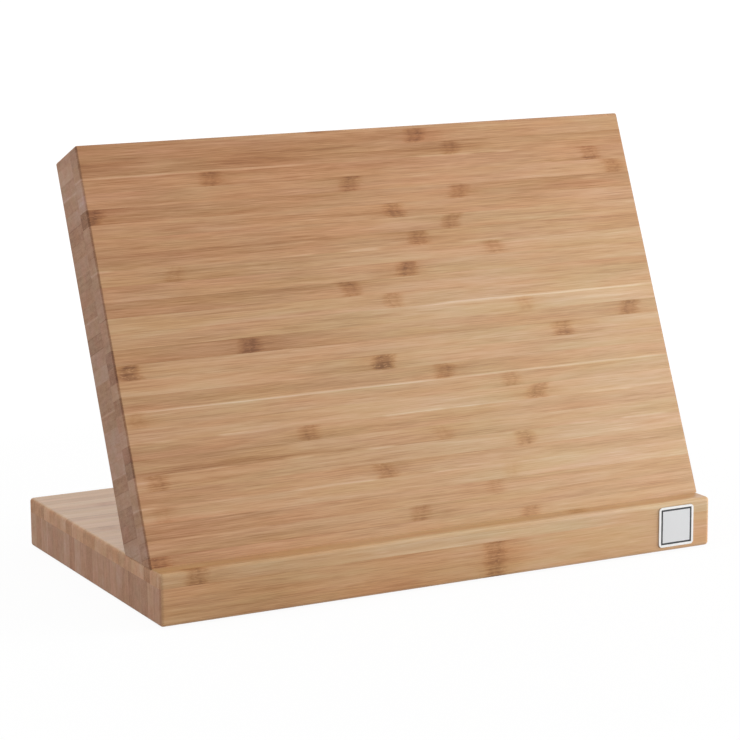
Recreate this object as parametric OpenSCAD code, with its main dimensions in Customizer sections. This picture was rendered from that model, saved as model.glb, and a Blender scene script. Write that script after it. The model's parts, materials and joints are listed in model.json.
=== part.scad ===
// Free-standing magnetic knife block of laminated bamboo.
// A thick board leans back on a flat base. Both are two plies of glued strips, and rows of disc
// magnets hidden behind the board's face hold the blades. X runs along the width, the face looks
// towards -Y, and the feet stand on z = 0.

/* [Overall] */
// Width of the base and of the board
block_w = 360; // [300:5:420]
// Width of one bamboo strip
strip_w = 9; // [7:0.5:12]

/* [Base] */
// Depth of the base, front to back
base_d = 200; // [180:5:240]
// Thickness of the base
base_h = 30; // [28:1:36]
// Thickness of the upper ply of the base
base_top_ply = 8.5; // [7:0.5:10]
// Width left of the first strip of the upper ply, so that its joints are staggered
base_top_trim = 4.5; // [3:0.5:6]
// Radius of the base's eased edges
base_edge_r = 2.2; // [1:0.1:2.4]

/* [Board] */
// Length of the board's face, from the base to its top edge
board_l = 242; // [220:2:260]
// Thickness of the board
board_t = 34; // [32:1:40]
// Thickness of the front ply, which covers the magnets
face_ply = 10.5; // [9:0.5:12]
// Angle by which the board leans back
lean = 23; // [15:1:25]
// Depth of the ledge in front of the board
ledge = 13; // [8:1:20]
// Width left of the top strip of the front ply
face_trim = 2; // [2:0.5:6]
// Width left of the top strip of the rear ply
rear_trim = 6.5; // [3:0.5:7]
// Radius of the board's eased edges
board_edge_r = 1.3; // [0.8:0.1:2]

/* [Magnets] */
// Diameter of a disc magnet
magnet_d = 20; // [15:1:25]
// Thickness of a disc magnet
magnet_t = 6; // [4:0.5:7]
// Magnets in one row
magnets_per_row = 10; // [6:1:11]
// Distance between magnets in a row
magnet_pitch = 34; // [26:1:36]
// Height of the lower row up the face
lower_row = 91.5; // [60:0.5:100]
// Height of the upper row up the face
upper_row = 181.5; // [150:0.5:200]

/* [Fixings] */
// Diameter of the board screws
screw_d = 5; // [4:0.5:6]
// Number of board screws
screw_count = 4; // [2:1:5]
// Diameter of the alignment dowels
dowel_d = 8; // [6:1:10]
// Length of the alignment dowels
dowel_l = 40; // [30:2:40]

/* [Feet] */
// Diameter of a rubber foot
foot_d = 16; // [12:1:20]
// Height that a foot stands proud of the base
foot_proud = 1; // [0.5:0.1:2]
// Distance from the base's ends to a foot's centre
foot_inset = 20; // [15:1:30]

/* [Badge plate] */
// Side of the square badge plate
badge_w = 24.5; // [18:0.5:26]
// Distance from the right end of the base to the plate's centre
badge_inset = 24.3; // [20:0.1:40]
// Height that the plate stands proud of the base
badge_proud = 0.6; // [0.2:0.1:1]

/* [Hidden] */
$fn = 48;
cut = 1;                      // how far a cutting shape runs past a surface
magnet_gap = 0.1;             // play round a magnet in its pocket
foot_recess = 2;              // depth of the recess that a foot stands in
foot_h = foot_proud + foot_recess;
foot_edge_r = 0.8;            // rounding of a foot's tread
foot_gap = 0.1;               // play round a foot in its recess
screw_head_d = 2 * screw_d;
screw_head_h = 3.5;
screw_seat = 7;               // depth of the counterbore that hides a screw head
screw_head_gap = 0.5;         // play round a head in its counterbore
screw_gap = 0.2;              // play round a shank in the base
screw_rise_max = 27;          // how far a screw may reach up into the board
screw_tip_clear = 1;          // wood kept between a screw's tip and the front ply
screw_tip_r = 0.6;
screw_tip_h = 4;
screw_head_r = 1.2;           // rounding of a screw head
socket_d = 3.4;               // hexagonal socket, across its corners
socket_h = 2;
dowel_chamfer = 1;
dowel_spare = 1;              // room for glue past each end of a dowel
dowel_below = 16;             // how much of a dowel is in the base
badge_t = 1.2;
badge_corner_r = 2.2;
badge_rim = 1.4;              // width of the plate's polished rim
badge_line = 1.2;             // width of the engraved line inside the rim
badge_line_depth = 0.25;
badge_line_r = 0.5;           // outer corner radius of the engraved line
badge_field_r = 0.3;          // corner radius of the field inside it
badge_gap = 0.1;              // play round the plate in its recess
tape_t = 0.3;
tape_margin = 1.5;            // how far the tape stops short of the plate's edge

base_z = foot_proud;          // underside of the base
base_top = base_z + base_h;
base_low_ply = base_h - base_top_ply;
board_y = ledge - base_d / 2; // foot of the board's face
rear_ply = board_t - face_ply;
// depth of the screws and dowels behind the face, at the base: past the middle of the board,
// because they stand upright while it leans back over them
joint_share = 0.745;
joint_depth = joint_share * board_t;
joint_y = board_y + joint_depth / cos(lean);
// the screws end before they reach the front ply
screw_wood = joint_depth - face_ply - screw_d / 2 - screw_tip_clear;
screw_rise = min(screw_rise_max, screw_wood / sin(lean));
screw_pitch = block_w / screw_count;
foot_x = block_w / 2 - foot_inset;
foot_y = base_d / 2 - foot_inset;
badge_x = block_w / 2 - badge_inset;
badge_z = base_z + base_h / 2;
badge_y = -base_d / 2;

// Tones of the strips, counted from the top of the board or the front of the base: light,
// medium or dark, with no two alike side by side
FACE_TONES = "MDMLDLMDLMDLMDLMDMLDMLMLDML";
REAR_TONES = "LDLMDMLMDLMDMLDMDLMLDLMDMLMD";
BASE_TOP_TONES = "MDLMDMLDLMDMLMDLDMLDMDL";
BASE_LOW_TONES = "MLDMDLMLDLMDMLDLMDLMDLD";
TONE_COLOURS = [["L", "#d6b48b"], ["M", "#c9a277"], ["D", "#b98f63"]];

function unit(v) = v / norm(v);
function tone_at(tones, k) = tones[(k + len(tones)) % len(tones)];
function tone_colour(tone) = [for (t = TONE_COLOURS) if (t[0] == tone) t[1]][0];

// Arc centre and the two tangent points of a corner rounded to radius r
function rounded_corner(before, corner, after, r) =
    let (
        u = unit(before - corner),
        v = unit(after - corner),
        half = acos(u * v) / 2
    )
    [corner + unit(u + v) * r / sin(half), corner + u * r / tan(half), corner + v * r / tan(half)];

// Convex outline with every corner rounded to radius r by a true arc
module rounded_outline(points, r) {
    n = len(points);
    corners = [
        for (i = [0 : n - 1])
            rounded_corner(points[(i + n - 1) % n], points[i], points[(i + 1) % n], r)
    ];
    polygon([for (c = corners) each [c[1], c[2]]]);
    for (c = corners)
        translate(c[0])
            circle(r = r);
}

module rounded_rectangle(x0, x1, y0, y1, r)
    rounded_outline([[x0, y0], [x1, y0], [x1, y1], [x0, y1]], r);

// Runs a side view, drawn in Y and Z, along the whole width
module along_width()
    translate([-block_w / 2, 0, 0])
        rotate([90, 0, 90])
            linear_extrude(block_w)
                children();

// Places its children in the board's own frame: x along the width, y into the board from its
// face, z up the slope from the base
module in_board_frame()
    translate([0, board_y, base_top])
        rotate([-lean, 0, 0])
            children();

// --- Bodies that the strips are cut from ---

// What is sanded off one corner, where three eased edges meet, to leave a ball of radius r.
// towards is the direction of the corner, -1 or 1 along each axis.
module corner_waste(corner, towards, r)
    translate(corner - r * towards)
        scale(towards)
            difference() {
                cube(r + cut);
                sphere(r);
            }

// The base as one slab, eased on every edge and corner
module base_body()
    difference() {
        intersection() {
            along_width()
                rounded_rectangle(-base_d / 2, base_d / 2, base_z, base_top, base_edge_r);
            translate([0, 0, base_z])
                linear_extrude(base_h)
                    rounded_rectangle(-block_w / 2, block_w / 2, -base_d / 2, base_d / 2, base_edge_r);
            rotate([90, 0, 0])
                linear_extrude(base_d, center = true)
                    rounded_rectangle(-block_w / 2, block_w / 2, base_z, base_top, base_edge_r);
        }
        for (i = [-1, 1], j = [-1, 1]) {
            corner_waste([i * block_w / 2, j * base_d / 2, base_top], [i, j, 1], base_edge_r);
            corner_waste([i * block_w / 2, j * base_d / 2, base_z], [i, j, -1], base_edge_r);
        }
    }

// The board as one slab in its own frame: square across the top, bevelled along the foot so
// that it stands flat on the base. The foot's edges stay sharp and close against the base.
module board_body() {
    bevel = board_t * tan(lean);
    difference() {
        intersection() {
            along_width()
                intersection() {
                    rounded_rectangle(0, board_t, -bevel, board_l, board_edge_r);
                    polygon([[0, 0], [board_t, bevel], [board_t, board_l], [0, board_l]]);
                }
            linear_extrude(board_l)
                rounded_rectangle(-block_w / 2, block_w / 2, 0, board_t, board_edge_r);
            rotate([90, 0, 0])
                linear_extrude(2 * (board_t + cut), center = true)
                    rounded_rectangle(-block_w / 2, block_w / 2, -bevel, board_l, board_edge_r);
        }
        for (side = [-1, 1]) {
            corner_waste([side * block_w / 2, 0, board_l], [side, -1, 1], board_edge_r);
            corner_waste([side * block_w / 2, board_t, board_l], [side, 1, 1], board_edge_r);
        }
    }
}

// --- Strips ---

// Slabs along the width for the strips of one tone, one strip wide in y and ply thick in z
module strip_slabs(length, trim, ply, tones, tone)
    for (k = [-1 : ceil(length / strip_w)])
        if (tone_at(tones, k) == tone)
            translate([-block_w / 2 - cut, trim + k * strip_w, 0])
                cube([block_w + 2 * cut, strip_w, ply]);

// Strips of the board between two depths, counted down from its top edge
module board_strips(depth, ply, trim, tones, tone)
    color(tone_colour(tone))
        in_board_frame()
            intersection() {
                board_body();
                translate([0, depth, board_l])
                    rotate([-90, 0, 0])
                        strip_slabs(board_l, trim, ply, tones, tone);
            }

// Strips of the base between two heights, counted from its front edge
module base_strips(z, ply, trim, tones, tone)
    color(tone_colour(tone))
        intersection() {
            base_body();
            translate([0, -base_d / 2, z])
                strip_slabs(base_d, trim, ply, tones, tone);
        }

module face_strips(tone)
    difference() {
        board_strips(0, face_ply, face_trim, FACE_TONES, tone);
        magnet_row(lower_row, magnet_gap, cut);
        magnet_row(upper_row, magnet_gap, cut);
    }

module rear_strips(tone)
    difference() {
        board_strips(face_ply, rear_ply, rear_trim, REAR_TONES, tone);
        screw_blanks();
        dowel_bores();
    }

module base_top_strips(tone)
    difference() {
        base_strips(base_top - base_top_ply, base_top_ply, base_top_trim, BASE_TOP_TONES, tone);
        screw_bores();
        dowel_bores();
        badge_recess();
    }

module base_low_strips(tone)
    difference() {
        base_strips(base_z, base_low_ply, 0, BASE_LOW_TONES, tone);
        screw_bores();
        dowel_bores();
        badge_recess();
        foot_recesses();
    }

// --- Magnets ---

// Discs behind the front ply's web at one height up the face. gap widens them and over
// lengthens them rearwards, for the pockets that hold them.
module magnet_row(height, gap = 0, over = 0)
    color("#b9bcc0")
        in_board_frame()
            for (i = [0 : magnets_per_row - 1])
                translate([(i - (magnets_per_row - 1) / 2) * magnet_pitch, face_ply, height])
                    rotate([90, 0, 0])
                        translate([0, 0, -over])
                            cylinder(d = magnet_d + 2 * gap, h = magnet_t + over);

module upper_magnets() magnet_row(upper_row);

module lower_magnets() magnet_row(lower_row);

// --- Screws and dowels between base and board ---

// x positions of the screws, spread evenly along the width
function screw_xs() = [for (i = [0 : screw_count - 1]) (i - (screw_count - 1) / 2) * screw_pitch];

// x positions of the dowels, one midway between each two screws
function dowel_xs() = [for (i = [1 : screw_count - 1]) (i - screw_count / 2) * screw_pitch];

// Half section of a screw whose head bears at z = 0
module screw_profile() {
    shank_r = screw_d / 2;
    head_r = screw_head_d / 2;
    length = base_h - screw_seat + screw_rise;
    polygon([
        [0, 0],
        [shank_r, 0],
        [shank_r, length - screw_tip_h],
        [screw_tip_r, length],
        [0, length]
    ]);
    translate([0, -screw_head_h])
        intersection() {
            rounded_rectangle(-head_r, head_r, 0, 2 * screw_head_h, screw_head_r);
            square([head_r, screw_head_h]);
        }
}

module screw_blanks()
    for (x = screw_xs())
        translate([x, joint_y, base_z + screw_seat])
            rotate_extrude()
                screw_profile();

module board_screws()
    color("#9a9da1")
        difference() {
            screw_blanks();
            for (x = screw_xs())
                translate([x, joint_y, base_z + screw_seat - screw_head_h - cut])
                    cylinder(d = socket_d, h = socket_h + cut, $fn = 6);
        }

// Counterbores and clearance holes through the base
module screw_bores()
    for (x = screw_xs())
        translate([x, joint_y, base_z]) {
            translate([0, 0, -cut])
                cylinder(d = screw_head_d + 2 * screw_head_gap, h = screw_seat + cut);
            cylinder(d = screw_d + 2 * screw_gap, h = base_h + cut);
        }

module board_dowels()
    color("#dcc398")
        for (x = dowel_xs())
            translate([x, joint_y, base_top - dowel_below])
                rotate_extrude()
                    polygon([
                        [0, 0],
                        [dowel_d / 2 - dowel_chamfer, 0],
                        [dowel_d / 2, dowel_chamfer],
                        [dowel_d / 2, dowel_l - dowel_chamfer],
                        [dowel_d / 2 - dowel_chamfer, dowel_l],
                        [0, dowel_l]
                    ]);

module dowel_bores()
    for (x = dowel_xs())
        translate([x, joint_y, base_top - dowel_below - dowel_spare])
            cylinder(d = dowel_d, h = dowel_l + 2 * dowel_spare);

// --- Feet ---

// side is -1 or 1 for left or right, end is -1 or 1 for front or back
module foot(side, end)
    color("#3a3a3a")
        translate([side * foot_x, end * foot_y, 0])
            rotate_extrude()
                intersection() {
                    rounded_rectangle(-foot_d / 2, foot_d / 2, 0, foot_h + 2 * foot_edge_r, foot_edge_r);
                    square([foot_d / 2, foot_h]);
                }

module foot_recesses()
    for (side = [-1, 1], end = [-1, 1])
        translate([side * foot_x, end * foot_y, base_z - cut])
            cylinder(d = foot_d + 2 * foot_gap, h = foot_recess + cut);

// --- Badge plate ---

// Extrudes a square with rounded corners towards -Y from the plane at the given depth
module badge_block(w, r, depth, t)
    translate([badge_x, badge_y + depth, badge_z])
        rotate([90, 0, 0])
            linear_extrude(t)
                rounded_rectangle(-w / 2, w / 2, -w / 2, w / 2, r);

// A bare metal plate with a single engraved line inside its rim
module badge_plate() {
    front = -badge_proud;
    line_w = badge_w - 2 * badge_rim;
    color("#d9dadb")
        difference() {
            badge_block(badge_w, badge_corner_r, front + badge_t, badge_t);
            difference() {
                badge_block(line_w, badge_line_r, front + badge_line_depth, badge_line_depth + cut);
                badge_block(line_w - 2 * badge_line, badge_field_r, front + cut, 2 * cut + badge_line_depth);
            }
        }
}

module badge_tape()
    color("#e8e6df")
        badge_block(badge_w - 2 * tape_margin, badge_corner_r, badge_t - badge_proud + tape_t, tape_t);

module badge_recess() {
    depth = badge_t - badge_proud + tape_t;
    badge_block(badge_w + 2 * badge_gap, badge_corner_r, depth, depth + cut);
}

face_strips("L");  // face_strips_light
face_strips("M");  // face_strips_medium
face_strips("D");  // face_strips_dark
rear_strips("L");  // rear_strips_light
rear_strips("M");  // rear_strips_medium
rear_strips("D");  // rear_strips_dark
base_top_strips("L");  // base_top_strips_light
base_top_strips("M");  // base_top_strips_medium
base_top_strips("D");  // base_top_strips_dark
base_low_strips("L");  // base_low_strips_light
base_low_strips("M");  // base_low_strips_medium
base_low_strips("D");  // base_low_strips_dark
upper_magnets();
lower_magnets();
board_dowels();
board_screws();
foot(-1, -1);  // foot_front_left
foot(1, -1);  // foot_front_right
foot(-1, 1);  // foot_back_left
foot(1, 1);  // foot_back_right
badge_plate();
badge_tape();
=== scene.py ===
import json
from math import asin, cos, pi, radians, sin

import bpy
import numpy as np
from mathutils import Matrix, Vector


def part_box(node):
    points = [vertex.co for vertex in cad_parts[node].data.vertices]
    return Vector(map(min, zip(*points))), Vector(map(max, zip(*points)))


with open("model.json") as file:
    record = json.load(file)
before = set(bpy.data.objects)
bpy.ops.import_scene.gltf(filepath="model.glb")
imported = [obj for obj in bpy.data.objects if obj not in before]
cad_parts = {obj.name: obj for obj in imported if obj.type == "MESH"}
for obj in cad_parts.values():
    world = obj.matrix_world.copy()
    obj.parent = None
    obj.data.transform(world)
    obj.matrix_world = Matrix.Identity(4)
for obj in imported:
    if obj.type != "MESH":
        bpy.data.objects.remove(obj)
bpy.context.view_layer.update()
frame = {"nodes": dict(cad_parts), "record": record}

nodes = frame["nodes"]
print("frame loaded:", len(nodes), "nodes")


# A socket that takes Python's operators: each one adds its Math node.
class Wire:
    def __init__(self, wiring, socket):
        self.wiring, self.socket = wiring, socket

    def maths(self, operation, *values):
        sockets = dict(zip(("Value", "Value_001"), values))
        return self.wiring.add("ShaderNodeMath", {"operation": operation}, sockets)["Value"]

    def __add__(self, other):
        return self.maths("ADD", self, other)

    def __sub__(self, other):
        return self.maths("SUBTRACT", self, other)

    def __rsub__(self, other):
        return self.maths("SUBTRACT", other, self)

    def __mul__(self, other):
        return self.maths("MULTIPLY", self, other)

    def __truediv__(self, other):
        return self.maths("DIVIDE", self, other)

    __radd__ = __add__
    __rmul__ = __mul__

    def __pow__(self, other):
        return self.maths("POWER", self, other)

    def __gt__(self, other):
        return self.maths("GREATER_THAN", self, other)

    def __lt__(self, other):
        return self.maths("LESS_THAN", self, other)

    def whole(self):
        return self.maths("FLOOR", self)

    def part(self):
        return self.maths("FRACT", self)

    def size(self):
        return self.maths("ABSOLUTE", self)

    def sine(self):
        return self.maths("SINE", self)

    def least(self, other):
        return self.maths("MINIMUM", self, other)

    def most(self, other):
        return self.maths("MAXIMUM", self, other)

    # kept from 0 to 1
    def within(self):
        return self.most(0.0).least(1.0)

    # 0 below low, 1 above high, smooth between; low above high turns it round
    def rise(self, low, high):
        ends = {"From Min": min(low, high), "From Max": max(low, high)}
        eased = self.wiring.add(
            "ShaderNodeMapRange", {"interpolation_type": "SMOOTHSTEP"}, {"Value": self, **ends}
        )["Result"]
        return eased if low < high else 1 - eased


# The nodes of one material or world.
class Wiring:
    def __init__(self, owner):
        owner.use_nodes = True
        self.data, self.tree = owner, owner.node_tree

    # one node: its settings first, then the values or links of its sockets
    def add(self, kind, settings=None, sockets=None):
        node = self.tree.nodes.new(kind)
        for name, value in (settings or {}).items():
            if name == "stops":
                self.setStops(node.color_ramp, value)
            elif name == "blend":
                node.color_ramp.interpolation = value
            else:
                setattr(node, name, value)
        known = {socket.identifier: socket for socket in node.inputs}
        for name, value in (sockets or {}).items():
            self.feed(known[name], value)
        return {socket.identifier: Wire(self, socket) for socket in node.outputs}

    # a link, a number, or a colour of three numbers that is made opaque
    def feed(self, socket, value):
        if isinstance(value, Wire):
            self.tree.links.new(value.socket, socket)
        else:
            socket.default_value = (*value, 1)[:4] if socket.type == "RGBA" else value

    def setStops(self, ramp, stops):
        ramp.elements.remove(ramp.elements[1])
        ramp.elements[0].position = stops[0][0]
        for place, colour in stops:
            element = ramp.elements[0] if place == stops[0][0] else ramp.elements.new(place)
            element.color = (*colour, 1)[:4]

    # object coordinates in millimetres, from an origin and a turn in the frame
    def place(self, origin=(0, 0, 0), turn=(0, 0, 0)):
        point = self.add("ShaderNodeTexCoord")["Object"]
        return self.add(
            "ShaderNodeMapping",
            {"vector_type": "TEXTURE"},
            {"Vector": point, "Location": origin, "Rotation": turn, "Scale": (0.001,) * 3},
        )["Vector"]

    def split(self, vector):
        parts = self.add("ShaderNodeSeparateXYZ", None, {"Vector": vector})
        return parts["X"], parts["Y"], parts["Z"]

    def join(self, x, y, z):
        return self.add("ShaderNodeCombineXYZ", None, {"X": x, "Y": y, "Z": z})["Vector"]

    # smooth noise from 0 to 1 about 0.5, with its own size along each axis in millimetres; where
    # cut gives two values, it is cut to a mask that rises between them
    def noise(self, x, y, z, sizes, seed, detail, rough, cut=None):
        where = self.join(*(value / size for value, size in zip((x, y, z), sizes)))
        smooth = self.add(
            "ShaderNodeTexNoise",
            {"noise_dimensions": "4D"},
            {"Vector": where, "W": seed, "Scale": 1.0, "Detail": detail, "Roughness": rough},
        )["Fac"]
        return smooth.rise(*cut) if cut else smooth

    # an unrelated number from 0 to 1 for each value
    def chance(self, value, seed):
        return self.add(
            "ShaderNodeTexWhiteNoise", {"noise_dimensions": "1D"}, {"W": value + seed}
        )["Value"]

    def mix(self, factor, first, second, blend="MIX"):
        return self.add(
            "ShaderNodeMix",
            {"data_type": "RGBA", "blend_type": blend},
            {"Factor_Float": factor, "A_Color": first, "B_Color": second},
        )["Result_Color"]

    def tint(self, factor, colour, shade):
        return self.mix(factor, colour, shade, "MULTIPLY")

    def bump(self, height, distance):
        return self.add("ShaderNodeBump", None, {"Height": height, "Distance": distance})["Normal"]


class Material(Wiring):
    def __init__(self, name):
        super().__init__(bpy.data.materials.new(name))
        self.surface = self.tree.nodes["Principled BSDF"]

    # the shader's own sockets, with _ for a space in their names
    def finish(self, **sockets):
        for name, value in sockets.items():
            self.feed(self.surface.inputs[name.replace("_", " ")], value)
        return self.data


# every slot of a CAD node takes the one material
def dress(name, material):
    slots = nodes[name].data.materials
    if len(slots) == 0:
        slots.append(material)
    for i in range(len(slots)):
        slots[i] = material


# where the block's own planes lie, from its nodes and the mount on its face
mount = next(m for m in frame["record"]["mounts"] if m["name"] == "knife_face")
lean = asin(mount["axis"][2])
upSlope = Vector((0, sin(lean), cos(lean)))
baseNodes = [name for name in nodes if name.startswith("base_")]
baseTop = max(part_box(name)[1].z for name in baseNodes)
baseFront = min(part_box(name)[0].y for name in baseNodes)
halfWidth = max(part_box(name)[1].x for name in baseNodes) * 1000  # in mm

board = {
    "length": 0.242,  # from the base to the top edge, up the slope
    "strip": 9.0,     # width of one strip in mm, on board and base
}
faceCentre = Vector(mount["pos_m"])
boardFoot = faceCentre - upSlope * (faceCentre.z - baseTop) / cos(lean)
boardTop = boardFoot + upSlope * board["length"]

# The board and the base each have their own frame, given by its origin and turn: x along the width,
# s across the strips in mm from the top edge or the front, and d through the thickness.
frames = {
    "board": (tuple(boardTop), (-(pi / 2 + lean), 0, 0)),
    "base": ((0, baseFront, baseTop), (0, 0, 0)),
}

# In each ply the strips are counted from trim, which is where strip 0 starts, in mm.
# - lift lightens the whole ply, cast colours it and gloss smooths its sides
# - endTint colours its cut ends darker and browner, with a cool painted shade as on an end turned
#   from the light, and endSpread says how far their tones differ
# - knuckles are (strip, x, strength), where the culm's joint darkens a strip, two at most in each
# - paleJoints and stretches lighten or darken a part of a joint or a strip: (joint or strip,
#   from x, to x, how much)
plies = {
    "face_strips": {
        "frame": "board", "trim": 2.0, "seed": 11.0, "lift": 0.0, "gloss": 0.0,
        "cast": (0.995, 1.008, 1.045), "endTint": (0.70, 0.685, 0.815), "endSpread": 0.75,
        "paleJoints": [(2, -180, -40, 0.5), (12, 26, 180, 0.5), (17, -180, 176, 0.5)],
        "stretches": [
            (0, -180, -150, -0.03), (0, 50, 180, 0.09), (1, -180, -110, 0.07), (1, 70, 180, 0.06),
            (2, -180, -150, -0.04), (2, -50, 180, -0.05), (3, -180, 180, -0.03), (3, -70, 20, -0.08),
            (4, -180, 90, 0.06), (4, 0, 70, 0.10), (5, -180, -60, 0.05), (7, -120, 180, 0.04),
            (8, -120, 10, -0.07), (10, -30, 60, 0.05), (10, 10, 90, 0.14), (11, -120, -20, -0.07),
            (11, 0, 110, -0.07), (12, -130, -10, -0.07), (12, 10, 180, 0.15), (13, -180, -130, -0.07),
            (13, -125, -55, -0.12), (14, -180, 130, -0.06), (15, -180, -90, 0.15), (15, 0, 180, 0.06),
            (16, -180, -130, -0.06), (17, -120, -10, 0.06), (18, -60, 20, 0.08), (18, -20, 180, 0.03),
            (19, -180, -100, -0.04), (20, -180, -60, -0.06), (21, -180, -130, 0.09),
            (22, -180, 0, 0.05), (22, 50, 130, 0.07), (23, -180, -50, 0.07), (23, 40, 180, 0.06),
            (24, 0, 60, 0.09), (25, -60, 180, -0.04), (25, -20, 100, -0.07),
        ],
        "knuckles": [
            (-1, -29.5, 0.7), (0, 36, 0.7), (1, 58, 0.5), (2, -101, 0.6), (2, 155, 0.55),
            (3, -14, 0.65), (3, 170, 0.6), (4, 58, 0.55), (4, -178, 0.8), (5, 11, 0.75),
            (6, 48, 0.6), (7, 24, 0.6), (8, 74, 0.45), (8, -134, 0.3), (9, 13, 0.85),
            (10, -26, 0.6), (11, -1, 0.55), (12, 87, 0.35), (13, -96, 0.75), (13, 159, 0.75),
            (14, 110, 0.75), (14, -173, 0.95), (15, -15, 1.0), (16, 25, 0.6), (17, 68, 0.5),
            (17, -173, 0.3), (18, 83, 0.8), (19, -70, 0.6), (20, 16, 0.3), (21, -166, 0.6),
            (21, 70, 0.75), (22, -26, 0.65), (23, -166, 0.25), (23, 56, 0.25), (24, 42, 0.3),
            (25, -9, 0.5), (26, 62, 0.6), (26, -174, 0.7),
        ],
    },
    "rear_strips": {
        "frame": "board", "trim": 6.5, "seed": 151.0, "lift": 0.0, "gloss": 0.0,
        "cast": (0.995, 1.008, 1.045), "endTint": (0.70, 0.685, 0.815), "endSpread": 0.75,
        "paleJoints": [(9, -60, 120, 0.5), (20, -180, 20, 0.5)],
        "stretches": [(4, -180, 0, 0.05), (13, 20, 180, -0.05), (18, -180, 180, 0.04)],
        "knuckles": [
            (0, -62, 0.6), (1, 120, 0.7), (2, 4, 0.6), (3, -140, 0.8), (4, 77, 0.5),
            (5, -33, 0.7), (6, 148, 0.6), (7, -91, 0.6), (8, 31, 0.8), (9, -160, 0.5),
            (10, 98, 0.7), (11, -12, 0.5), (12, 57, 0.6), (13, -120, 0.9), (14, 134, 0.6),
            (15, -48, 0.7), (16, 19, 0.5), (17, 164, 0.7), (18, -84, 0.6), (19, 66, 0.8),
            (20, -150, 0.6), (21, 108, 0.4), (22, -5, 0.7), (23, -104, 0.6), (24, 45, 0.6),
            (25, 142, 0.5), (26, -57, 0.6),
        ],
    },
    "base_top_strips": {
        "frame": "base", "trim": 4.5, "seed": 293.0, "lift": 0.01, "gloss": 0.12,
        "cast": (1.0, 0.985, 0.965), "endTint": (0.90, 0.83, 0.92), "endSpread": 0.5,
        "paleJoints": [(8, -100, 90, 0.5)],
        "stretches": [(-1, -180, -70, -0.04), (-1, -60, 180, 0.13)],
        "knuckles": [
            (-1, -158, 0.7), (0, 92, 0.5), (1, -40, 0.6), (2, 141, 0.6), (3, -112, 0.6),
            (5, 20, 0.6), (7, -128, 0.5), (9, -30, 0.6), (10, 118, 0.5), (11, -166, 0.4),
            (13, 52, 0.6), (14, -88, 0.5), (15, 150, 0.6), (16, -20, 0.5), (17, -146, 0.4),
            (18, 84, 0.6), (19, -58, 0.5), (20, 130, 0.5), (21, -120, 0.4),
        ],
    },
    "base_low_strips": {
        "frame": "base", "trim": 0.0, "seed": 431.0, "lift": 0.035, "gloss": 0.0,
        "cast": (1.02, 0.958, 0.92), "endTint": (0.725, 0.68, 0.82), "endSpread": 0.5,
        "paleJoints": [(6, -120, 60, 0.5), (14, 0, 180, 0.5)],
        "stretches": [(0, -140, -10, -0.06), (0, 40, 180, 0.13)],
        "knuckles": [
            (0, 31, 1.35), (1, -90, 0.6), (2, 112, 0.6), (3, -20, 0.7), (4, 60, 0.5),
            (5, -134, 0.6), (6, 155, 0.5), (7, -60, 0.7), (8, 25, 0.6), (9, 98, 0.6),
            (10, -160, 0.7), (11, -8, 0.5), (12, 128, 0.7), (13, -104, 0.6), (14, 47, 0.6),
            (15, -36, 0.7), (16, 166, 0.5), (17, -76, 0.6), (18, 84, 0.7), (19, -142, 0.5),
            (20, 12, 0.6), (21, 120, 0.6),
        ],
    },
}

bamboo = {
    # colours from the darkest fibre to the palest, in linear light
    "ramp": [
        (0.00, (0.202, 0.080, 0.025)),
        (0.25, (0.402, 0.203, 0.080)),
        (0.50, (0.572, 0.340, 0.167)),
        (0.75, (0.665, 0.449, 0.264)),
        (1.00, (0.770, 0.587, 0.392)),
    ],
    "tones": {"light": 0.060, "medium": 0.0, "dark": -0.060},
    # how strongly each of these shows in the colour, as a share of the ramp
    "toneSpread": 0.08,    # between strips of one tone
    "edges": 0.03,         # between the two edges of a strip
    "cloud": 0.26,         # the drift of a strip's tone along its length
    "band": 0.29,          # bands a few millimetres wide
    "streak": 0.28,
    "fibre": 0.76,         # the finest fibres
    "dash": 0.06,          # thin dark vessels
    "sliver": 0.09,        # pale slivers
    "paleLine": 0.30,      # joints between strips
    "darkLine": 0.09,
    "knuckle": 0.43,
    "fleck": 0.24,         # how much of that its pale flecks lack
    # how the grain runs
    "shear": 0.008,        # how far it may run off a strip's length
    "waver": 0.6,          # how far it wavers, in mm
    # tints, which the colour is multiplied by
    "warm": (1.0, 0.962, 0.92),
    "cool": (0.98, 0.996, 1.018),
    "rosy": (1.022, 0.989, 1.022),
    "golden": (0.978, 1.012, 0.98),
    # the colour that the painted shade on the board takes
    "paintedShadeTint": (1.0, 0.87, 0.85),
    "knuckleBrown": (1.0, 0.95, 0.885),
    # on the right-hand ends this takes back the cool painted shade in the ends' tint, which only the
    # left ends keep
    "rightEnd": (0.93, 0.87, 0.72),    # the right-hand ends are browner
    "endBrown": (1.0, 0.955, 0.87),
    "endGrey": (0.965, 0.985, 1.04),
    "endPink": (1.0, 0.95, 1.01),
    # the cut ends, where the strips show crosswise
    "endDark": 0.02,
    "endTones": 0.30,      # between strips
    "bars": 0.42,
    "bundle": 0.05,        # how dark the dots of the fibre bundles are
    "bundleSize": 0.8,     # their distance in mm
    "bundleReach": (0.42, 0.16),  # as shares of it, between which a dot fades
    "seam": 0.10,          # how dark the seams between strips are
    "arris": 0.16,         # how dark the burnished edge between face and end is
    "endReach": (1.3, 0.25),      # between these distances from the end's plane the ends start, in mm
    "arrisReach": (1.15, 0.85),   # how far from the corner the burnish reaches, in mm
    # the surface
    "roughness": 0.44, "endRoughness": 0.20, "streakRoughness": 0.14, "knuckleRoughness": 0.06,
    "relief": 0.00003,     # height of the grain in metres, and each one's share of it
    "heights": {"fibre": 0.5, "streak": 0.3, "dash": -0.4, "darkLine": -0.5, "bundle": -0.4},
}

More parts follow.
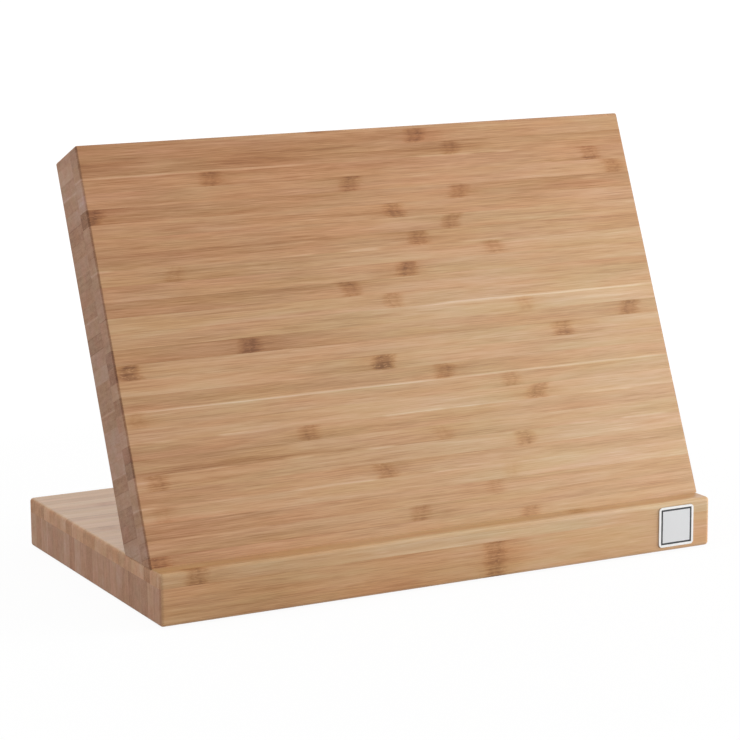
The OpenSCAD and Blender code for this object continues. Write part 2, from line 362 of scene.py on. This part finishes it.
# Noise in the bamboo: its sizes along x, s and d in mm, what it adds to the strip's seed, its
# detail, its roughness, and for a mask the two values between which it is cut.
layers = {
    "waver": ((60, 9, 9), 0, 1.0, 0.5),
    "fibre": ((20, 0.38, 0.42), 0, 2.0, 0.65),
    "streak": ((70, 1.3, 1.6), 3, 1.0, 0.5),
    "band": ((170, 4.2, 5.0), 13, 1.0, 0.5),
    "cloud": ((85, 14, 16), 5, 1.0, 0.5),
    "dash": ((24, 0.5, 0.6), 9, 1.0, 0.5, (0.62, 0.74)),
    "sliver": ((24, 0.65, 0.7), 17, 1.0, 0.5, (0.60, 0.72)),
    "ragged": ((7, 1.3, 2.0), 21, 2.0, 0.65),
    "mottle": ((3.2, 1.1, 1.4), 23, 2.0, 0.6, (0.36, 0.64)),
    "fleck": ((2.4, 0.55, 0.9), 27, 1.0, 0.5, (0.58, 0.70)),
    "hue": ((60, 9.0, 10.0), 37, 1.0, 0.5),
    "blush": ((70, 8.0, 9.0), 43, 1.0, 0.5),
    "bars": ((60, 1.9, 16.0), 51, 2.0, 0.6),
}

# painted light and shade: where the board and the base get darker or paler as a whole as the light
# falls, each growing from the first place to the second in mm
paintedShading = {
    "left": (110, -180), "leftShare": 0.42,                       # along x
    "top": (120, 10), "topShare": 0.62,                           # along s
    "foot": (150, 230), "footLeft": (-70, -160), "footShare": 0.35,  # along s and along x
    "dark": 0.14,                                                 # how dark all these make it
    # a painted pool of light round a place at x and s, how far it reaches and how pale it makes it
    "paintedLightAt": (80, 140), "paleReach": (160, 30), "pale": 0.035,   # a pale place at x and s
    # painted light on the top of the board's ends
    "endTop": (110, 20), "endPale": 0.05,                         # the top of the board's ends
    # painted shade on the left of the base
    "baseLeft": (-60, -150), "baseDark": 0.06,                    # along x
}

# A knuckle's forms: how far each lies from its middle, where its edge ends and where it starts, in
# mm along the strip, and how dark it is. Across the strip, its half width is 0.5.
knots = {
    "stroke": (1.6, 2.0, 0.3, 0.29),
    "backStroke": (-2.9, 1.7, 0.2, 0.22),
    "cap": (0.0, 6.5, 3.0, 0.18),
    "patch": (0.0, 9.5, 2.5, 0.50),
    "halo": (4.0, 28.0, 2.0, 0.21),
    "slant": 9.0,          # how far it may lean, bow and stray, in mm along the strip
    "bow": 22.0,
    "stray": 9.0,
    "capAcross": (0.12, 0.42),
    "patchAcross": (0.62, 0.32),
    "mottled": 0.45,       # how much of the strokes the mottle takes away
    "solid": (0.88, 1.0),  # between these strengths the knuckle closes up to one smooth patch,
    "solidPatch": 0.54,    # whose patch is darker by this share
    "solidStrokes": 0.5,   # and whose strokes are fainter by this one
}

# The lines along the joints. Each joint has a chance from 0 to 1, which says what it gets; a line
# fades between two distances from the joint in mm, and comes and goes by a noise along it.
jointLines = {
    "darkBelow": 0.6, "darkReach": (0.5, 0.1), "darkComes": (0.46, 0.62),
    "paleAbove": 0.8, "paleReach": (0.95, 0.25), "paleComes": (0.5, 0.62), "paleShare": 0.7,
    "seamFrom": 0.2, "seamTo": 0.7, "seamReach": (0.55, 0.12),
    "comes": ((42, 4, 4), 31, 1.0, 0.5),
    "listedFade": 24.0,    # over how many mm the listed lines fade at their ends
    "frontReach": (0.6, 0.2),
}
stripFade = 60.0           # over how many mm the listed stretches of the strips fade
rampSteps = 32


# a place along x as a ramp keeps it, from 0 at the left end to 1 at the right one, and back
def share(x):
    return x / (2 * halfWidth) + 0.5


def unshare(part):
    return (part - 0.5) * (2 * halfWidth)


# A ramp with one flat step per strip hands each strip, or the joint above it, its own four numbers.
# The step of strip k is read at its middle, and strip -1 is the first.
def lookUp(m, rows, strip):
    stops = [(step / rampSteps, rows.get(step - 1, (0, 0, 0, 0))) for step in range(rampSteps)]
    found = m.add(
        "ShaderNodeValToRGB",
        {"stops": stops, "blend": "CONSTANT"},
        {"Fac": (strip + 1.5) / rampSteps},
    )
    parts = m.add("ShaderNodeSeparateColor", None, {"Color": found["Color"]})
    return parts["Red"], parts["Green"], parts["Blue"], found["Alpha"]


# How much paler or darker the listed stretches make each strip or joint at x, fading over soft
# millimetres. A ramp holds one stretch for each strip, so a strip's second one takes another ramp.
def stretches(m, listed, strip, x, soft):
    amount = 0.0
    while listed:
        last = {row[0]: row for row in listed}
        rows = {k: (share(row[1]), share(row[2]), 0.5 + row[3], 1.0) for k, row in last.items()}
        low, high, much, known = lookUp(m, rows, strip)
        reach = ((x - unshare(low)) / soft + 0.5).within() * ((unshare(high) - x) / soft + 0.5).within()
        amount = (much - 0.5) * known * reach + amount
        listed = [row for row in listed if row not in last.values()]
    return amount


# the places and the strengths of the two knuckles in each strip, where strength 0 is none
def knuckleRows(knuckles):
    rows = {}
    for strip in {knuckle[0] for knuckle in knuckles}:
        own = sorted(knuckle[1:] for knuckle in knuckles if knuckle[0] == strip)
        first, second = (own + [(0.0, 0.0)])[:2]
        rows[strip] = (share(first[0]), share(second[0]), first[1], second[1])
    return rows


# The darkness of one knuckle: two bowed strokes across the strip and a cap along one joint, on a
# soft patch with a faint halo along the grain. The strongest ones close up to one smooth patch.
def knuckle(m, x, across, place, strength, ragged, mottle):
    slant = m.chance(place * 91.0, 0.0) - 0.5
    bow = m.chance(place * 57.0, 3.0) - 0.5
    side = (bow > 0.0) * 2 - 1
    v = across - 0.5
    along = x - unshare(place) + v * slant * knots["slant"] + v * v * bow * knots["bow"]
    along = along + (ragged - 0.5) * knots["stray"]

    def form(name):
        offset, outer, inner, dark = knots[name]
        return (along - side * offset).size().rise(outer, inner) * dark

    solid = strength.rise(*knots["solid"])
    cap = form("cap") * (v * side).rise(*knots["capAcross"])
    strokes = form("stroke") + form("backStroke") * mottle + cap
    strokes = strokes * (1 - (1 - mottle) * knots["mottled"]) * (1 - solid * knots["solidStrokes"])
    patch = form("patch") * v.size().rise(*knots["patchAcross"]) * (1 + solid * knots["solidPatch"])
    return (strokes + patch + form("halo")) * strength


# The joints between the strips, as masks of their dark lines, their pale lines and, on the ends,
# their seams. The lines come and go along a joint, and the listed ones are plainly pale. The front
# of the base, where a joint would start, has none.
def jointMasks(m, ply, x, s, across, strip):
    box = jointLines
    joint = (across + 0.5).whole() + strip
    gap = ((across - 0.5).size() - 0.5).size() * board["strip"] + s.rise(*box["frontReach"]) * 2
    luck = m.chance(joint * 3.1, ply["seed"] + 70)
    sizes, added, *rest = box["comes"]
    comes = m.noise(x, joint * 9.0, 0.0, sizes, ply["seed"] + added, *rest)
    dark = (luck < box["darkBelow"]) * comes.rise(*box["darkComes"]) * gap.rise(*box["darkReach"])
    pale = (luck > box["paleAbove"]) * comes.rise(*box["paleComes"]) * box["paleShare"]
    listed = stretches(m, ply["paleJoints"], joint, x, box["listedFade"]) * 2
    pale = pale.most(listed) * gap.rise(*box["paleReach"])
    seam = (luck > box["seamFrom"]) * (luck < box["seamTo"]) * gap.rise(*box["seamReach"])
    return dark, pale, seam


# Painted shade over the board, from 0 to 1: to the left, and except on its ends along its top and in
# its lower left corner. Then how much paler or darker it and the painted light make the board or base.
def paintedShadeAndLight(frameName, x, s, end):
    if frameName == "base":
        return 0.0, x.rise(*paintedShading["baseLeft"]) * (1 - end) * -paintedShading["baseDark"]
    corner = s.rise(*paintedShading["foot"]) * x.rise(*paintedShading["footLeft"]) * paintedShading["footShare"]
    face = (s.rise(*paintedShading["top"]) * paintedShading["topShare"] + corner) * (1 - end)
    shade = x.rise(*paintedShading["left"]) * paintedShading["leftShare"] + face
    paleX, paleS = paintedShading["paintedLightAt"]
    away = ((x - paleX) ** 2 + (s - paleS) ** 2) ** 0.5
    lift = away.rise(*paintedShading["paleReach"]) * paintedShading["pale"]
    lift = lift + end * s.rise(*paintedShading["endTop"]) * paintedShading["endPale"] - shade * paintedShading["dark"]
    return shade, lift


def makeBamboo(name, ply, tone):
    m = Material(name)
    x, s, d = m.split(m.place(*frames[ply["frame"]]))

    # which strip this is, how far across it, and chances of its own; on the front and on the top
    # edge, where s is 0, a hair is added so that all of that face counts with its strip
    count = (s.most(0.05) - ply["trim"]) / board["strip"]
    strip, across = count.whole(), count.part()
    seed = strip * 7.31 + ply["seed"]
    luck = m.chance(strip * 1.7, ply["seed"])
    endLuck = m.chance(strip * 2.3, ply["seed"] + 40)
    hueLuck = m.chance(strip * 2.9, ply["seed"] + 90)
    side = (endLuck > 0.5) * 2 - 1

    # the ends of the strips, and the burnished edge before them
    end = (halfWidth - x.size()).rise(*bamboo["endReach"])
    arris = (halfWidth - x.size() + d.size()).rise(*bamboo["arrisReach"])

    def layer(name, across):
        sizes, added, *rest = layers[name]
        return m.noise(x, across, d, sizes, seed + added, *rest)

    # the grain runs a little off the strip's length, and wavers
    lay = s + (layer("waver", s) - 0.5) * bamboo["waver"] + x * ((luck - 0.5) * bamboo["shear"])
    fibre, streak, dash = layer("fibre", lay), layer("streak", lay), layer("dash", lay)

    firstPlace, secondPlace, first, second = lookUp(m, knuckleRows(ply["knuckles"]), strip)
    ragged, mottle = layer("ragged", s), layer("mottle", s)
    dark = knuckle(m, x, across, firstPlace, first, ragged, mottle)
    dark = dark + knuckle(m, x, across, secondPlace, second, ragged, mottle)

    darkLine, paleLine, seam = jointMasks(m, ply, x, s, across, strip)
    # painted shade and painted light on the board and the base as a whole
    shade, lift = paintedShadeAndLight(ply["frame"], x, s, end)

    # on the ends the fibre bundles show as dots and each strip as a few bars, with seams between
    cell = bamboo["bundleSize"]
    dots = {"Vector": m.join(luck * 90, s / cell, d / cell), "Scale": 1.0}
    bundle = m.add("ShaderNodeTexVoronoi", None, dots)["Distance"].rise(*bamboo["bundleReach"])
    endValue = (
        (endLuck - 0.5) * (bamboo["endTones"] * ply["endSpread"]) - bamboo["endDark"]
        + (layer("bars", s) - 0.5) * bamboo["bars"]
        - bundle * bamboo["bundle"] - seam * bamboo["seam"]
    )

    value = (
        0.5 + ply["lift"] + bamboo["tones"][tone] + (luck - 0.5) * bamboo["toneSpread"]
        + (fibre - 0.5) * bamboo["fibre"] + (streak - 0.5) * bamboo["streak"]
        + (layer("band", lay) - 0.5) * bamboo["band"] + (layer("cloud", s) - 0.5) * bamboo["cloud"]
        + (across - 0.5) * side * bamboo["edges"]
        + lift
        - dash * bamboo["dash"] + layer("sliver", lay) * bamboo["sliver"]
        + paleLine * bamboo["paleLine"] - darkLine * bamboo["darkLine"]
        - dark * (bamboo["knuckle"] - layer("fleck", s) * bamboo["fleck"])
        + stretches(m, ply["stretches"], strip, x, stripFade)
        + end * endValue - arris * bamboo["arris"]
    )

    colour = m.add("ShaderNodeValToRGB", {"stops": bamboo["ramp"]}, {"Fac": value})["Color"]
    hue, blush = layer("hue", lay), layer("blush", lay)
    spread = end * ply["endSpread"]
    tints = [
        (hue.rise(0.46, 0.66), bamboo["warm"]),
        (hue.rise(0.54, 0.34), bamboo["cool"]),
        (blush.rise(0.49, 0.66), bamboo["rosy"]),
        (blush.rise(0.51, 0.34), bamboo["golden"]),
        # the colour of the painted shade
        (shade, bamboo["paintedShadeTint"]),
        (dark.rise(0.0, 0.4) * (1 - dark.rise(0.5, 0.85) * 0.6), bamboo["knuckleBrown"]),
        (1.0, ply["cast"]),
        (end, ply["endTint"]),
        (end * (x > 0.0), bamboo["rightEnd"]),
        (spread * hueLuck.rise(0.4, 1.0), bamboo["endBrown"]),
        (spread * hueLuck.rise(0.6, 0.0), bamboo["endGrey"]),
        (spread * luck.rise(0.6, 1.0), bamboo["endPink"]),
    ]
    for factor, tint in tints:
        colour = m.tint(factor, colour, tint)

    rough = (
        bamboo["roughness"] - ply["gloss"] + end * (bamboo["endRoughness"] + ply["gloss"])
        + (streak - 0.5) * bamboo["streakRoughness"] + dark * bamboo["knuckleRoughness"]
    )
    raised = {
        "fibre": fibre, "streak": streak, "dash": dash, "darkLine": darkLine, "bundle": end * bundle
    }
    height = sum(raised[name] * part for name, part in bamboo["heights"].items())
    return m.finish(Base_Color=colour, Roughness=rough, Normal=m.bump(height, bamboo["relief"]))


# one node and one material for each tone of each ply
for plyName, ply in plies.items():
    for tone in bamboo["tones"]:
        dress(f"{plyName}_{tone}", makeBamboo(f"bamboo {plyName} {tone}", ply, tone))
print("bamboo laid out:", len(plies) * len(bamboo["tones"]), "materials")


# From here on a noise is its sizes along x, y and z in mm, its seed, its detail, its roughness, and
# for a mask the two values between which it is cut.
nickel = {
    "colours": ((0.60, 0.58, 0.54), (0.70, 0.69, 0.66)),
    "haze": ((3.0, 3.0, 3.0), 2.0, 3.0, 0.6),
    "roughness": 0.20, "hazeRoughness": 0.14,
}


def makeMagnetNickel():
    m = Material("magnet nickel")
    x, y, z = m.split(m.place())
    haze = m.noise(x, y, z, *nickel["haze"])
    return m.finish(
        Base_Color=m.mix(haze, *nickel["colours"]),
        Metallic=1.0,
        Roughness=nickel["roughness"] + haze * nickel["hazeRoughness"],
    )


steel = {
    "colours": ((0.50, 0.505, 0.515), (0.60, 0.60, 0.60)),
    "haze": ((1.6, 1.6, 1.6), 6.0, 3.0, 0.6),
    "turned": ((2.4, 2.4, 0.14), 4.0, 2.0, 0.6),  # the rings that the lathe leaves
    "roughness": 0.32, "hazeRoughness": 0.12,
    "relief": 0.00004,
}


def makeScrewSteel():
    m = Material("screw steel")
    x, y, z = m.split(m.place())
    haze = m.noise(x, y, z, *steel["haze"])
    return m.finish(
        Base_Color=m.mix(haze, *steel["colours"]),
        Metallic=1.0,
        Roughness=steel["roughness"] + haze * steel["hazeRoughness"],
        Normal=m.bump(m.noise(x, y, z, *steel["turned"]), steel["relief"]),
    )


beech = {
    "colours": ((0.62, 0.43, 0.26), (0.76, 0.58, 0.39)),
    "grain": ((0.7, 0.7, 16), 8.0, 2.0, 0.6),
    "fleck": ((0.4, 0.4, 2.2), 12.0, 1.0, 0.5, (0.6, 0.68)),
    "fleckTint": (0.72, 0.62, 0.54), "fleckShare": 0.6,
    "roughness": 0.62, "grainRoughness": 0.10,
    "relief": 0.00008,
}


def makeDowelBeech():
    m = Material("dowel beech")
    x, y, z = m.split(m.place())
    grain = m.noise(x, y, z, *beech["grain"])
    fleck = m.noise(x, y, z, *beech["fleck"]) * beech["fleckShare"]
    return m.finish(
        Base_Color=m.tint(fleck, m.mix(grain, *beech["colours"]), beech["fleckTint"]),
        Roughness=beech["roughness"] + grain * beech["grainRoughness"],
        Normal=m.bump(grain, beech["relief"]),
    )


magnetNickel = makeMagnetNickel()
dress("upper_magnets", magnetNickel)
dress("lower_magnets", magnetNickel)
dress("board_screws", makeScrewSteel())
dress("board_dowels", makeDowelBeech())


rubber = {
    "colours": ((0.030, 0.030, 0.032), (0.075, 0.073, 0.070)),  # clean and dusty
    "dust": ((2.6, 2.6, 2.6), 5.0, 3.0, 0.6, (0.5, 0.75)), "dustShare": 0.5,
    "grain": ((0.35, 0.35, 0.35), 3.0, 2.0, 0.6),
    "tread": 0.5,       # height up to which the tread has moulded rings, in mm
    "ringPitch": 1.25,  # distance between the rings in mm
    "roughness": 0.66, "grainRoughness": 0.12,
    "relief": 0.00015, "grainHeight": 0.35, "ringHeight": 0.5,
}


def makeFootRubber(node):
    low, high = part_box(node)
    m = Material(f"rubber {node}")
    x, y, z = m.split(m.place(((low.x + high.x) / 2, (low.y + high.y) / 2, low.z)))
    out = (x * x + y * y) ** 0.5
    rings = (out * (2 * pi / rubber["ringPitch"])).sine()
    tread = z.rise(rubber["tread"], 0.0)
    grain = m.noise(x, y, z, *rubber["grain"])
    dust = m.noise(x, y, z, *rubber["dust"]) * rubber["dustShare"]
    height = grain * rubber["grainHeight"] + rings * tread * rubber["ringHeight"]
    return m.finish(
        Base_Color=m.mix(dust, *rubber["colours"]),
        Roughness=rubber["roughness"] + grain * rubber["grainRoughness"],
        Normal=m.bump(height, rubber["relief"]),
    )


for node in [name for name in nodes if name.startswith("foot_")]:
    dress(node, makeFootRubber(node))


badge = {
    "metal": ((0.80, 0.80, 0.79), (0.90, 0.90, 0.895)),
    "field": ((0.70, 0.71, 0.72), (0.76, 0.765, 0.775)),
    "ink": (0.045, 0.045, 0.048),
    "inkDepth": 0.12,  # the line is inked below this depth in mm
    "rim": 1.4,        # width of the rim in mm
    "line": 1.2,       # width of the engraved line in mm
    "fieldEdge": 0.05, "inkEdge": 0.06,  # over how many mm the field and the ink fade
    "brushed": ((16, 0.3, 0.11), 2.0, 2.0, 0.6),
    "grit": ((0.25, 0.25, 0.25), 7.0, 2.0, 0.6),
    # of the rim, and what the brushing, the field, its grit and the ink add
    "roughness": 0.30, "brushedRoughness": 0.08, "fieldRoughness": 0.14, "gritRoughness": 0.10,
    "inkRoughness": 0.20,
    "metallic": 0.55, "fieldMetallic": 0.15,
    "relief": 0.00003, "brushedHeight": 0.4, "gritHeight": 0.6,
}


def makeBadge():
    low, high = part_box("badge_plate")
    m = Material("badge satin metal")
    x, y, z = m.split(m.place(((low.x + high.x) / 2, low.y, (low.z + high.z) / 2)))
    reach = x.size().most(z.size())
    lineOuter = (high.x - low.x) * 500 - badge["rim"]
    lineInner = lineOuter - badge["line"]
    field = reach.rise(lineInner + badge["fieldEdge"], lineInner)
    line = reach.rise(lineOuter, lineOuter - badge["inkEdge"]) * (1 - field)
    inked = line * (y > badge["inkDepth"])
    brushed = m.noise(x, y, z, *badge["brushed"])
    grit = m.noise(x, y, z, *badge["grit"])
    bare = m.mix(field, m.mix(brushed, *badge["metal"]), m.mix(grit, *badge["field"]))
    rough = (
        badge["roughness"] + brushed * badge["brushedRoughness"]
        + field * (badge["fieldRoughness"] + grit * badge["gritRoughness"])
        + inked * badge["inkRoughness"]
    )
    metallic = badge["metallic"] - field * (badge["metallic"] - badge["fieldMetallic"])
    height = brushed * badge["brushedHeight"] + field * grit * badge["gritHeight"]
    return m.finish(
        Base_Color=m.mix(inked, bare, badge["ink"]),
        Metallic=metallic * (1 - inked),
        Roughness=rough,
        Normal=m.bump(height * (1 - inked), badge["relief"]),
    )


tape = {
    "colours": ((0.72, 0.70, 0.64), (0.84, 0.82, 0.77)),
    "weave": ((0.5, 0.5, 0.5), 1.0, 3.0, 0.6),
    "roughness": 0.75, "weaveRoughness": 0.10,
}


def makeTape():
    m = Material("adhesive tape")
    x, y, z = m.split(m.place())
    weave = m.noise(x, y, z, *tape["weave"])
    return m.finish(
        Base_Color=m.mix(weave, *tape["colours"]),
        Roughness=tape["roughness"] + weave * tape["weaveRoughness"],
    )


dress("badge_plate", makeBadge())
dress("badge_tape", makeTape())
print("fixings, feet and badge finished")


studio = {
    "floorSide": 12.0,
    "floorColour": (0.55, 0.55, 0.55),
    "floorLift": 0.88,      # share of the floor's white that the camera sees whatever the light
    "floorWhite": 1.07,     # makes up for the share of the lit floor, so that the sum is white
    "shadowReach": (350, 750),  # between these distances in mm the floor turns plain white
    "sky": 0.515,           # strength of the light from all round
    # square soft boxes: where each stands, its power in watts and whether it shows in gloss; the
    # low key on the right doesn't, because seen from the left it would glare
    "aim": (0, 0, 0.12),
    "boxSide": 0.8,
    "lamps": {
        "key": {"at": (1.50, -0.45, 0.30), "power": 20.5, "inGloss": False},
        "fill": {"at": (1.30, -1.00, 0.35), "power": 8.2, "inGloss": True},
        "left": {"at": (-0.90, 0.10, 0.80), "power": 3.0, "inGloss": True},
        "rear": {"at": (0.10, 1.00, 0.80), "power": 1.3, "inGloss": True},
    },
}


# 1 where the camera, or a reflection of it, looks
def seen(m):
    rays = m.add("ShaderNodeLightPath")
    return rays["Is Camera Ray"].most(rays["Is Glossy Ray"]).most(rays["Is Transmission Ray"])


# a square in the plane z = 0: its four corners are (-1 or 1, -1 or 1, 0) times half the side
def makeFloor():
    corners = np.array([(-1, -1, 0), (1, -1, 0), (1, 1, 0), (-1, 1, 0)]) * studio["floorSide"] / 2
    mesh = bpy.data.meshes.new("floor")
    mesh.from_pydata(corners.tolist(), [], [(0, 1, 2, 3)])
    floorPiece = bpy.data.objects.new("floor", mesh)
    bpy.context.scene.collection.objects.link(floorPiece)
    m = Material("pale floor")
    m.finish(Base_Color=studio["floorColour"], Roughness=1.0, Specular_IOR_Level=0.0)
    x, y, z = m.split(m.place())
    far = ((x * x + y * y) ** 0.5).rise(*studio["shadowReach"])
    white = {"Color": (1, 1, 1), "Strength": studio["floorWhite"]}
    shaders = {
        "Fac": seen(m) * (studio["floorLift"] + far * (1 - studio["floorLift"])),
        "Shader": Wire(m, m.surface.outputs["BSDF"]),
        "Shader_001": m.add("ShaderNodeEmission", None, white)["Emission"],
    }
    mixed = m.add("ShaderNodeMixShader", None, shaders)["Shader"]
    m.feed(m.tree.nodes["Material Output"].inputs["Surface"], mixed)
    mesh.materials.append(m.data)


def makeSky():
    world = bpy.data.worlds.new("studio")
    bpy.context.scene.world = world
    m = Wiring(world)
    background = m.tree.nodes["Background"]
    m.feed(background.inputs["Color"], (1, 1, 1))
    m.feed(background.inputs["Strength"], studio["sky"] + seen(m) * (1 - studio["sky"]))


def makeLamp(name, box):
    lamp = bpy.data.lights.new(name, "AREA")
    lamp.shape = "SQUARE"
    lamp.size = studio["boxSide"]
    lamp.energy = box["power"]
    holder = bpy.data.objects.new(name, lamp)
    bpy.context.scene.collection.objects.link(holder)
    holder.location = box["at"]
    holder.visible_glossy = box["inGloss"]
    aim = Vector(studio["aim"]) - Vector(box["at"])
    holder.rotation_euler = aim.to_track_quat("-Z", "Y").to_euler()


# the camera stands round its target, and rolls a little: angles in degrees, places in metres
view = {
    "azimuth": -27.67, "elevation": 11.13, "roll": -0.40,
    "aside": 0.0015, "height": 0.1093, "distance": 1.579,
    "lens": 128.19, "sensor": 36,
}


def makeCamera():
    azimuth, elevation, roll = (radians(view[name]) for name in ("azimuth", "elevation", "roll"))
    back = Vector((
        sin(azimuth) * cos(elevation), -cos(azimuth) * cos(elevation), sin(elevation)
    ))
    right = Vector((cos(azimuth), sin(azimuth), 0))
    up = back.cross(right)
    across = right * cos(roll) + up * sin(roll)
    upright = up * cos(roll) - right * sin(roll)
    target = right * view["aside"] + Vector((0, 0, view["height"]))
    place = Matrix((across, upright, back)).transposed().to_4x4()
    place.translation = target + back * view["distance"]
    lens = bpy.data.cameras.new("camera")
    lens.lens = view["lens"]
    lens.sensor_width = view["sensor"]
    lens.clip_end = 50
    holder = bpy.data.objects.new("camera", lens)
    bpy.context.scene.collection.objects.link(holder)
    holder.matrix_world = place
    bpy.context.scene.camera = holder


makeFloor()
makeSky()
for name, box in studio["lamps"].items():
    makeLamp(name, box)
makeCamera()
bpy.context.scene.view_settings.view_transform = "Standard"
print("studio set")
